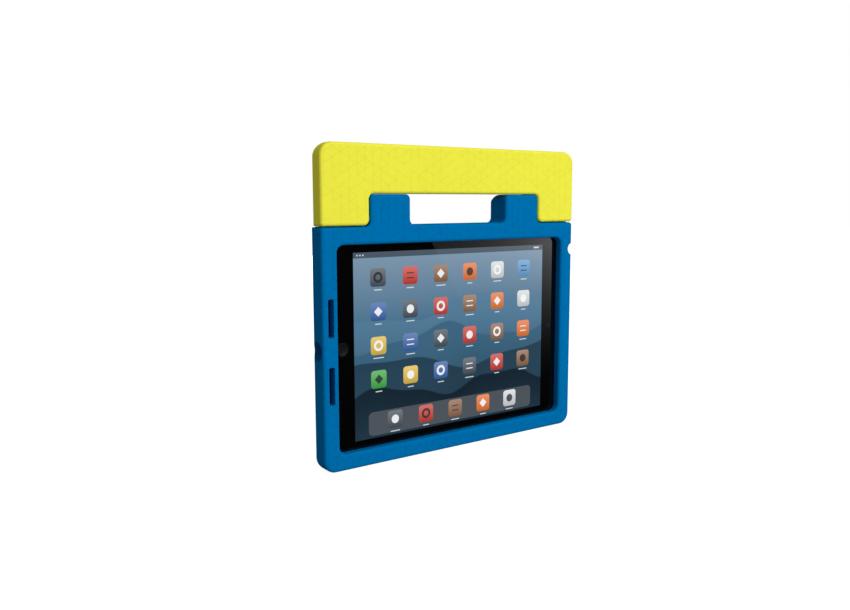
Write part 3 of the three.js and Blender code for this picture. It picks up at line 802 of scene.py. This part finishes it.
def foam_finish(name, colour, groove_shade_share):
    """Matt closed-cell foam: a fine skin, and faint engraved triangles on its flat front and back, whose
    grooves also get painted shade in their colour.
    """
    paint = Paint(bpy.data.materials.new(name))
    across, _, up = paint.place()
    normal = paint.node("TexCoord", {}, {}, "Normal")
    straight = abs(paint.node("SeparateXYZ", {}, {0: normal}, 1))
    facing = (straight * FACING_SHARPNESS - (FACING_SHARPNESS - 1)).clamp()
    groove = engraved_lines(paint, across, up) * facing
    cloud = paint.noise(per_metre=45, detail=3)
    skin = paint.noise(per_metre=2600, detail=2)
    pores = paint.noise(per_metre=700, detail=3)
    shade = paint.mix(cloud, scaled(colour, 0.965), scaled(colour, 1.03))
    # Painted shade: the colour in the grooves is darkened towards GROOVE_SHADE, as if shade gathered in them
    shade = paint.mix(groove * groove_shade_share, shade, scaled(colour, GROOVE_SHADE))
    relief = skin * SKIN_DEPTH + pores * PORE_DEPTH - groove * GROOVE_DEPTH
    return paint.surface(
        base_color=shade,
        roughness=0.74 + cloud * 0.08,
        specular_ior_level=0.0,
        normal=paint.bump(relief, MM),
    )


def metal_finish(name, colour, roughness, grain, relief):
    """Metal with a fine even grain and slow changes of gloss."""
    paint = Paint(bpy.data.materials.new(name))
    cloud = paint.noise(per_metre=90, detail=3)
    speck = paint.noise(grain, detail=2)
    return paint.surface(
        base_color=paint.mix(cloud, scaled(colour, 0.94), scaled(colour, 1.05)),
        metallic=1.0,
        roughness=roughness - 0.05 + speck * 0.1,
        normal=paint.bump(speck, relief * MM),
    )


def plastic_finish(name, colour, roughness, grain=1500, relief=0.02):
    """Moulded plastic with a fine texture."""
    paint = Paint(bpy.data.materials.new(name))
    cloud = paint.noise(per_metre=120, detail=3)
    speck = paint.noise(grain, detail=2)
    return paint.surface(
        base_color=paint.mix(cloud, scaled(colour, 0.88), scaled(colour, 1.12)),
        roughness=roughness - 0.04 + speck * 0.08,
        normal=paint.bump(speck, relief * MM),
    )


TRACK_PITCH = 0.9
TRACK_RUN = 9
TRACKS_LEFT_OUT = 0.45


def circuit_finish():
    """Green solder mask with paler tracks: stripes along the board, broken up by blocks."""
    paint = Paint(bpy.data.materials.new("circuit_board"))
    across, _, up = paint.place()
    lane = (across / TRACK_PITCH).floor()
    run = (up / TRACK_RUN).floor()
    stripe = (abs(across / TRACK_PITCH - lane - 0.5) * 6 - 1.4).clamp()
    track = stripe * (paint.hash(lane, run, 3) > TRACKS_LEFT_OUT)
    colour = paint.mix(track * 0.7, rgb(24, 86, 58), rgb(92, 150, 96))
    gloss = 0.42 + paint.noise(per_metre=300) * 0.1
    return paint.surface(base_color=colour, roughness=gloss, normal=paint.bump(track, 0.03 * MM))


def lens_finish():
    """A dark coated lens inside a metal rim, by the distance from its axis, with a paler purple ring painted
    on the lens as a reflection in its coating.
    """
    paint = Paint(bpy.data.materials.new("lens_and_rim"))
    low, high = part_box("rear_camera")
    across, _, up = paint.place()
    dx = across - (low.x + high.x) / 2 / MM
    dz = up - (low.z + high.z) / 2 / MM
    away = (dx * dx + dz * dz).root()
    bore = (high.x - low.x) / 2 / MM - LENS_RIM / MM
    rim = ((away - bore) * 12).clamp()
    # Painted reflection: a soft paler purple ring halfway out on the lens stands in for light reflected by
    # its coating
    ring = (1 - abs(away - bore * 0.55) * 3).clamp()
    glass = paint.mix(ring, rgb(10, 11, 18), rgb(46, 42, 70))
    return paint.surface(
        base_color=paint.mix(rim, glass, rgb(120, 122, 126)),
        metallic=rim * 0.9,
        roughness=0.06 + rim * 0.28,
    )


# The picture on the screen: places and sizes in millimetres from its middle
SCREEN_MARGIN = 2
SCREEN_HALF = (
    (display_high.x - display_low.x) / 2 / MM - SCREEN_MARGIN,
    (display_high.z - display_low.z) / 2 / MM - SCREEN_MARGIN,
)
SCREEN_CORNER = 0.3
SOFT_EDGE = 0.22
TILE_HALF = 7.2
TILE_CORNER = 2.6
TILE_COLUMNS = 6
TILE_ROWS = 4
TILE_PITCH = 30.5
ROW_PITCH = 27
TOP_ROW = 54
MARK_KINDS = 4
MARK_HALF = 3.6
RING_RADIUS = 3.3
RING_HALF_WIDTH = 1.1
DIAMOND_HALF = 4
STROKE_HEIGHT = 2
STROKE_HALF_WIDTH = 0.55
DARK_MARKS = 0.6
LABEL_DROP = 2.6
LABEL_HALF_WIDTH = 0.5
LABEL_SHORTEST = 2.6
LABEL_SPREAD = 2.4
DOCK_HEIGHT = -62.5
DOCK_HALF = (86, 9.6)
DOCK_CORNER = 4
DOCK_TILES = 5
DOCK_TILE_REACH = 12
DOCK_TILE_LIFT = 1
STATUS_DROP = 2.2
STATUS_DOT_PITCH = 2.6
STATUS_DOT_RADIUS = 0.75
STATUS_DOTS_LEFT = -96.2
STATUS_DOTS_RIGHT = -88.4
STATUS_BAR_PLACE = 91
STATUS_BAR_HALF = (3.2, 0.8)
FRONT_LENS_RADIUS = 1.5
FRONT_RING_RADIUS = 1.75
FRONT_RING_HALF_WIDTH = 0.35
TILE_COLOURS = [
    rgb(236, 122, 38),
    rgb(74, 84, 96),
    rgb(64, 176, 70),
    rgb(222, 226, 228),
    rgb(206, 62, 48),
    rgb(232, 196, 72),
    rgb(92, 160, 214),
    rgb(150, 108, 74),
    rgb(52, 104, 176),
    rgb(196, 168, 118),
]


def inside(room):
    """1 where there is room left, in millimetres, and 0 where there is none, with a soft edge."""
    return (room / SOFT_EDGE).clamp()


def rounded_box(across, up, half_across, half_up, radius):
    """1 inside a rounded rectangle about the origin and 0 outside, from its signed distance."""
    beside = abs(across) - (half_across - radius)
    over = abs(up) - (half_up - radius)
    corner = (beside.above(0) * beside.above(0) + over.above(0) * over.above(0)).root()
    distance = corner + beside.above(over).below(0) - radius
    return (0.5 - distance / SOFT_EDGE).clamp()


def hills(paint, across, up):
    """A pale sky that darkens downwards, with four rows of soft hills in front of it.

    Each row's ridge is its height plus two sines of the place across, the second a third as high."""
    share = (up / (2 * SCREEN_HALF[1]) + 0.5).clamp()
    picture = paint.ramp(share, [
        (0.0, rgb(8, 14, 20)),
        (0.2, rgb(14, 25, 35)),
        (0.4, rgb(38, 70, 90)),
        (0.6, rgb(70, 112, 140)),
        (1.0, rgb(126, 150, 172)),
    ])
    rows = [
        (26, 9, 0.031, 0.4, rgb(84, 124, 152)),
        (4, 8, 0.043, 2.1, rgb(52, 94, 120)),
        (-18, 7, 0.036, 4.0, rgb(26, 46, 60)),
        (-40, 6, 0.052, 5.3, rgb(9, 16, 24)),
    ]
    for height, swell, pace, start, colour in rows:
        ripple = (across * pace * 2.3 + start).sine() * (swell / 3)
        ridge = (across * pace + start).sine() * swell + ripple + height
        depth = ridge - up
        near = (depth / 1.2).clamp() * (1 - (depth / 60).clamp() * 0.6)
        picture = paint.mix(near * 0.75, picture, colour)
    return picture


def tile(paint, picture, across, up, column, row, seed):
    """A coloured tile about the origin with a plain mark on it, and a pale bar below.

    The mark is a disc, a ring, two bars or a diamond."""
    number = (column * 3 + row * 7 + seed) % len(TILE_COLOURS)
    share = (number + 0.5) / len(TILE_COLOURS)
    stops = [(index / len(TILE_COLOURS), colour) for index, colour in enumerate(TILE_COLOURS)]
    colour = paint.ramp(share, stops, "CONSTANT")
    lit = (up / (2 * TILE_HALF) + 0.5).clamp()
    colour = paint.mix((1 - lit) * 0.35, colour, rgb(20, 22, 28))
    colour = paint.mix(lit * 0.12, colour, WHITE)
    kind = (column + row * 2 + seed) % MARK_KINDS
    away = (across * across + up * up).root()
    marks = [
        inside(MARK_HALF - away),
        inside(RING_HALF_WIDTH - abs(away - RING_RADIUS)),
        inside(MARK_HALF - abs(across)) * inside(STROKE_HALF_WIDTH - abs(abs(up) - STROKE_HEIGHT)),
        inside(DIAMOND_HALF - abs(across) - abs(up)),
    ]
    mark = sum(shape * (0.5 - abs(kind - index)).clamp() * 2 for index, shape in enumerate(marks))
    dark_mark = paint.hash(column, row, seed) > DARK_MARKS
    mark_colour = paint.mix(dark_mark, rgb(244, 246, 248), rgb(40, 46, 56))
    colour = paint.mix(mark.clamp() * 0.9, colour, mark_colour)
    picture = paint.mix(rounded_box(across, up, TILE_HALF, TILE_HALF, TILE_CORNER), picture, colour)
    length = LABEL_SHORTEST + paint.hash(column, row, seed + 9) * LABEL_SPREAD
    below = abs(up + TILE_HALF + LABEL_DROP)
    label = inside(length - abs(across)) * inside(LABEL_HALF_WIDTH - below)
    return paint.mix(label * 0.8, picture, rgb(230, 236, 240))


def tile_grid(paint, picture, across, up):
    """Rows of tiles at an even pitch."""
    column = (across / TILE_PITCH + TILE_COLUMNS / 2).floor()
    row = ((TOP_ROW + ROW_PITCH / 2 - up) / ROW_PITCH).floor()
    beside = across - (column + (0.5 - TILE_COLUMNS / 2)) * TILE_PITCH
    over = up - (TOP_ROW - row * ROW_PITCH)
    within = (TILE_COLUMNS / 2 * TILE_PITCH - abs(across) > 0) * (row > -0.5) * (TILE_ROWS - 0.5 - row > 0)
    return paint.mix(within, picture, tile(paint, picture, beside, over, column, row, seed=1))


def dock(paint, picture, across, up):
    """A frosted bar near the bottom with a row of tiles on it."""
    over = up - DOCK_HEIGHT
    bar = rounded_box(across, over, *DOCK_HALF, DOCK_CORNER)
    picture = paint.mix(bar * 0.75, picture, rgb(86, 92, 98))
    column = (across / TILE_PITCH + DOCK_TILES / 2).floor()
    beside = across - (column + (0.5 - DOCK_TILES / 2)) * TILE_PITCH
    within = (DOCK_TILES / 2 * TILE_PITCH - abs(across) > 0) * (DOCK_TILE_REACH - abs(over) > 0)
    tiles = tile(paint, picture, beside, over - DOCK_TILE_LIFT, column, row=5, seed=6)
    return paint.mix(within, picture, tiles)


def status_bar(paint, picture, across, up):
    """A dark strip along the top with three dots and a bar."""
    middle = SCREEN_HALF[1] - STATUS_DROP
    strip = (0.5 + (up - (middle - STATUS_DROP)) / SOFT_EDGE).clamp()
    picture = paint.mix(strip * 0.72, picture, rgb(34, 38, 44))
    over = up - middle
    step = (across / STATUS_DOT_PITCH).floor()
    dot = across - (step + 0.5) * STATUS_DOT_PITCH
    dots = inside(STATUS_DOT_RADIUS - (dot * dot + over * over).root())
    dots = dots * (across > STATUS_DOTS_LEFT) * (STATUS_DOTS_RIGHT - across > 0)
    half_length, half_height = STATUS_BAR_HALF
    bar = inside(half_length - abs(across - STATUS_BAR_PLACE)) * inside(half_height - abs(over))
    return paint.mix((dots + bar).clamp() * 0.85, picture, rgb(225, 228, 230))


def glass_finish():
    """Glossy black glass. The lit picture shows in its middle, and a small lens beside it."""
    paint = Paint(bpy.data.materials.new("cover_glass"))
    across, _, height = paint.place()
    up = height - screen_middle / MM
    picture = hills(paint, across, up)
    picture = tile_grid(paint, picture, across, up)
    picture = dock(paint, picture, across, up)
    picture = status_bar(paint, picture, across, up)
    lit = rounded_box(across, up, *SCREEN_HALF, SCREEN_CORNER)
    glow = paint.mix(lit, BLACK, picture)
    lens_low, lens_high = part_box("front_camera")
    beside = across - (lens_low.x + lens_high.x) / 2 / MM
    away = (beside * beside + up * up).root()
    lens = inside(FRONT_LENS_RADIUS - away)
    ring = inside(FRONT_RING_HALF_WIDTH - abs(away - FRONT_RING_RADIUS))
    body = paint.mix(ring, rgb(5, 5, 6), rgb(30, 31, 34))
    body = paint.mix(lens, body, rgb(18, 22, 42))
    return paint.surface(
        base_color=body,
        roughness=0.02 + paint.noise(per_metre=60) * 0.02,
        specular_ior_level=0.5,
        emission_color=glow,
        emission_strength=1.0,
    )


def display_finish():
    """The display behind the glass: a dark panel with fine rows of dots."""
    paint = Paint(bpy.data.materials.new("display"))
    across, _, up = paint.place()
    dots = abs((across * 12).sine() * (up * 12).sine())
    colour = paint.mix(dots, rgb(30, 52, 70), rgb(46, 78, 102))
    return paint.surface(base_color=colour, roughness=0.2 + paint.noise(per_metre=100) * 0.1)


METALS = {
    "hinge_steel": dict(colour=rgb(200, 203, 207), roughness=0.25, grain=900, relief=0.01),
    "shell_aluminium": dict(colour=rgb(208, 210, 213), roughness=0.34, grain=3200, relief=0.012),
    "button_aluminium": dict(colour=rgb(202, 204, 208), roughness=0.28, grain=2600, relief=0.01),
    "socket_metal": dict(colour=rgb(150, 153, 158), roughness=0.3, grain=1200, relief=0.01),
    "shield_steel": dict(colour=rgb(188, 191, 196), roughness=0.3, grain=1400, relief=0.015),
}
PLASTICS = {
    "bush_plastic": dict(colour=rgb(44, 46, 50), roughness=0.5),
    "black_button": dict(colour=rgb(20, 21, 23), roughness=0.2, grain=700, relief=0.004),
    "black_plastic": dict(colour=rgb(28, 29, 31), roughness=0.55),
    "battery_foil": dict(colour=rgb(56, 60, 66), roughness=0.35, grain=240, relief=0.05),
}


def finishes():
    """Every material, by the name of its slot."""
    made = {
        "blue_foam": foam_finish("blue_foam", rgb(0, 110, 173), groove_shade_share=0.8),
        "yellow_foam": foam_finish("yellow_foam", rgb(236, 233, 70), groove_shade_share=0.42),
        "cover_glass": glass_finish(),
        "display": display_finish(),
        "lens": lens_finish(),
        "circuit_board": circuit_finish(),
    }
    for name, look in METALS.items():
        made[name] = metal_finish(name, **look)
    for name, look in PLASTICS.items():
        made[name] = plastic_finish(name, **look)
    return made


# Studio

LAMP_AIM = Vector((0, 0, 0.12))
AMBIENT = 0.38
KEY_POWER = 47
BACK_POWER = 36
KEY_PLACE = (0.5, -2.2, 1.0)
BACK_PLACE = (0.9, 2.2, 0.7)
LAMP_SIZE = 1.4
FLOOR_REACH = 6.0
FLOOR_ALBEDO = 0.3
NEAR_GLOW = 0.9
FAR_GLOW = 0.96
GLOW_CHANGE_START = 0.4
GLOW_CHANGE_LENGTH = 1.6
CARD_IN_FRONT = 20 * MM
CARD_HALF_WIDTH = 220 * MM
CARD_BOTTOM = 1 * MM
CARD_TOP = 200 * MM
CARD_GLOW = 2.0

# The slanting edge of the card's glow and how it fades, in millimetres
SLANT_HEIGHT = 169
SLANT = 0.61
SLANT_LEFT = 4
SLANT_SOFTNESS = 1.5
FADE_BOTTOM = 10
FADE_HEIGHT = 155
SWELL_LEFT = 5
SWELL_WIDTH = 150


def seen_directly(paint):
    """1 for what the camera, a mirror or a clear thing sees, and 0 for light on matt surfaces."""
    camera_ray = paint.node("LightPath", {}, {}, "Is Camera Ray")
    glossy_ray = paint.node("LightPath", {}, {}, "Is Glossy Ray")
    transmission_ray = paint.node("LightPath", {}, {}, "Is Transmission Ray")
    return (camera_ray + glossy_ray + transmission_ray).clamp()


def world():
    """White to the eye, and a dimmer even light on the object."""
    made = bpy.data.worlds.new("studio")
    paint = Paint(made)
    ambient = paint.node("Background", {}, {"Color": WHITE, "Strength": AMBIENT})
    backdrop = paint.node("Background", {}, {"Color": WHITE, "Strength": 1})
    both = paint.node("MixShader", {}, {0: seen_directly(paint), 1: ambient, 2: backdrop})
    paint.node("OutputWorld", {}, {"Surface": both})
    bpy.context.scene.world = made


def sheet(name, corners, finish):
    """A flat stage piece with four corners."""
    mesh = bpy.data.meshes.new(name)
    mesh.from_pydata(corners, [], [[0, 1, 2, 3]])
    mesh.materials.append(finish)
    piece = bpy.data.objects.new(name, mesh)
    bpy.context.scene.collection.objects.link(piece)
    return piece


def floor():
    """A wide pale floor. Where the camera sees it, a glow makes up the light that it lacks to be white. The
    glow is weaker near the case, where together with the lamps it would otherwise drown the shadow."""
    paint = Paint(bpy.data.materials.new("floor"))
    across, behind, _ = paint.place()
    away = (across * across + behind * behind).root() * MM
    far = ((away - GLOW_CHANGE_START) / GLOW_CHANGE_LENGTH).clamp()
    glow = seen_directly(paint) * (far * (FAR_GLOW - NEAR_GLOW) + NEAR_GLOW)
    finish = paint.surface(
        base_color=scaled((1, 1, 1), FLOOR_ALBEDO),
        roughness=0.9,
        specular_ior_level=0.0,
        emission_color=paint.mix(glow, BLACK, WHITE),
        emission_strength=1.0,
    )
    reach = FLOOR_REACH
    sheet("floor", [(-reach, -reach, 0), (reach, -reach, 0), (reach, reach, 0), (-reach, reach, 0)], finish)


def reflection_card():
    """A dark card in front of the glass, which only reflections see. A soft glow fills its top right part,
    right of a slanting edge. It fades downwards as the cube of the height, and swells to the right."""
    paint = Paint(bpy.data.materials.new("reflection_card"))
    across, _, up = paint.place()
    beside_edge = across + (up - SLANT_HEIGHT) * SLANT + SLANT_LEFT
    edge = (beside_edge / SLANT_SOFTNESS).clamp()
    fade = ((up - FADE_BOTTOM) / FADE_HEIGHT).clamp()
    swell = ((across + SWELL_LEFT) / SWELL_WIDTH).clamp()
    glow = edge * fade * fade * fade * (swell * swell * 0.75 + 0.16)
    finish = paint.surface(
        base_color=BLACK,
        roughness=0.9,
        specular_ior_level=0.0,
        emission_color=paint.mix(glow, BLACK, WHITE),
        emission_strength=CARD_GLOW,
    )
    behind = front - CARD_IN_FRONT
    card = sheet("reflection_card", [
        (-CARD_HALF_WIDTH, behind, CARD_BOTTOM),
        (CARD_HALF_WIDTH, behind, CARD_BOTTOM),
        (CARD_HALF_WIDTH, behind, CARD_TOP),
        (-CARD_HALF_WIDTH, behind, CARD_TOP),
    ], finish)
    card.visible_camera = False
    card.visible_diffuse = False
    card.visible_transmission = False
    card.visible_shadow = False


def lamp(name, place, power):
    """A square soft lamp that shines at the middle of the case."""
    light = bpy.data.lights.new(name, "AREA")
    light.shape = "SQUARE"
    light.size = LAMP_SIZE
    light.energy = power
    holder = bpy.data.objects.new(name, light)
    holder.location = place
    holder.rotation_euler = (LAMP_AIM - Vector(place)).to_track_quat("-Z", "Y").to_euler()
    bpy.context.scene.collection.objects.link(holder)


# Camera: where the photograph was taken from, solved from the corners of the screen and the straight edges
CAMERA_PLACE = (-0.41274, -0.54005, 0.20550)
CAMERA_HEADING = math.radians(35.423)
CAMERA_TILT = math.radians(-7.199)
CAMERA_ROLL = math.radians(-0.135)
CAMERA_LENS = 34.471
CAMERA_SENSOR = 36


def camera():
    """The scene's camera, turned by its heading, its tilt and its roll."""
    view = bpy.data.cameras.new("camera")
    view.lens = CAMERA_LENS
    view.sensor_width = CAMERA_SENSOR
    holder = bpy.data.objects.new("camera", view)
    turned_to = Matrix.Rotation(-CAMERA_HEADING, 4, "Z") @ Matrix.Rotation(math.pi / 2 + CAMERA_TILT, 4, "X")
    holder.matrix_world = Matrix.Translation(CAMERA_PLACE) @ turned_to @ Matrix.Rotation(CAMERA_ROLL, 4, "Z")
    bpy.context.scene.collection.objects.link(holder)
    bpy.context.scene.camera = holder


camera()
world()
floor()
reflection_card()
lamp("key", KEY_PLACE, KEY_POWER)
lamp("back", BACK_PLACE, BACK_POWER)

finish = finishes()
slots = {part["node"]: part["material_slot"] for part in frame["record"]["subparts"]}
for name, node in frame["nodes"].items():
    node.data.materials.clear()
    node.data.materials.append(finish[slots[name]])

bodies = frame["record"]["behaviour"]["bodies"]
body_of = {node: body for body, nodes in bodies.items() for node in nodes}
shapes = {
    "case_body": case_foam(),
    "handle": handle_foam(),
    "cover_glass": glass_plate(),
    "home_button": home_key(),
    "rear_camera": rear_lens(),
    "power_button": edge_button("power_button", "side"),
    "volume_up_button": edge_button("volume_up_button", "plan"),
    "volume_down_button": edge_button("volume_down_button", "plan"),
}
for node, shape in shapes.items():
    dressed(shape, body_of[node], node, finish[slots[node]])

bpy.context.scene.view_settings.view_transform = "Standard"
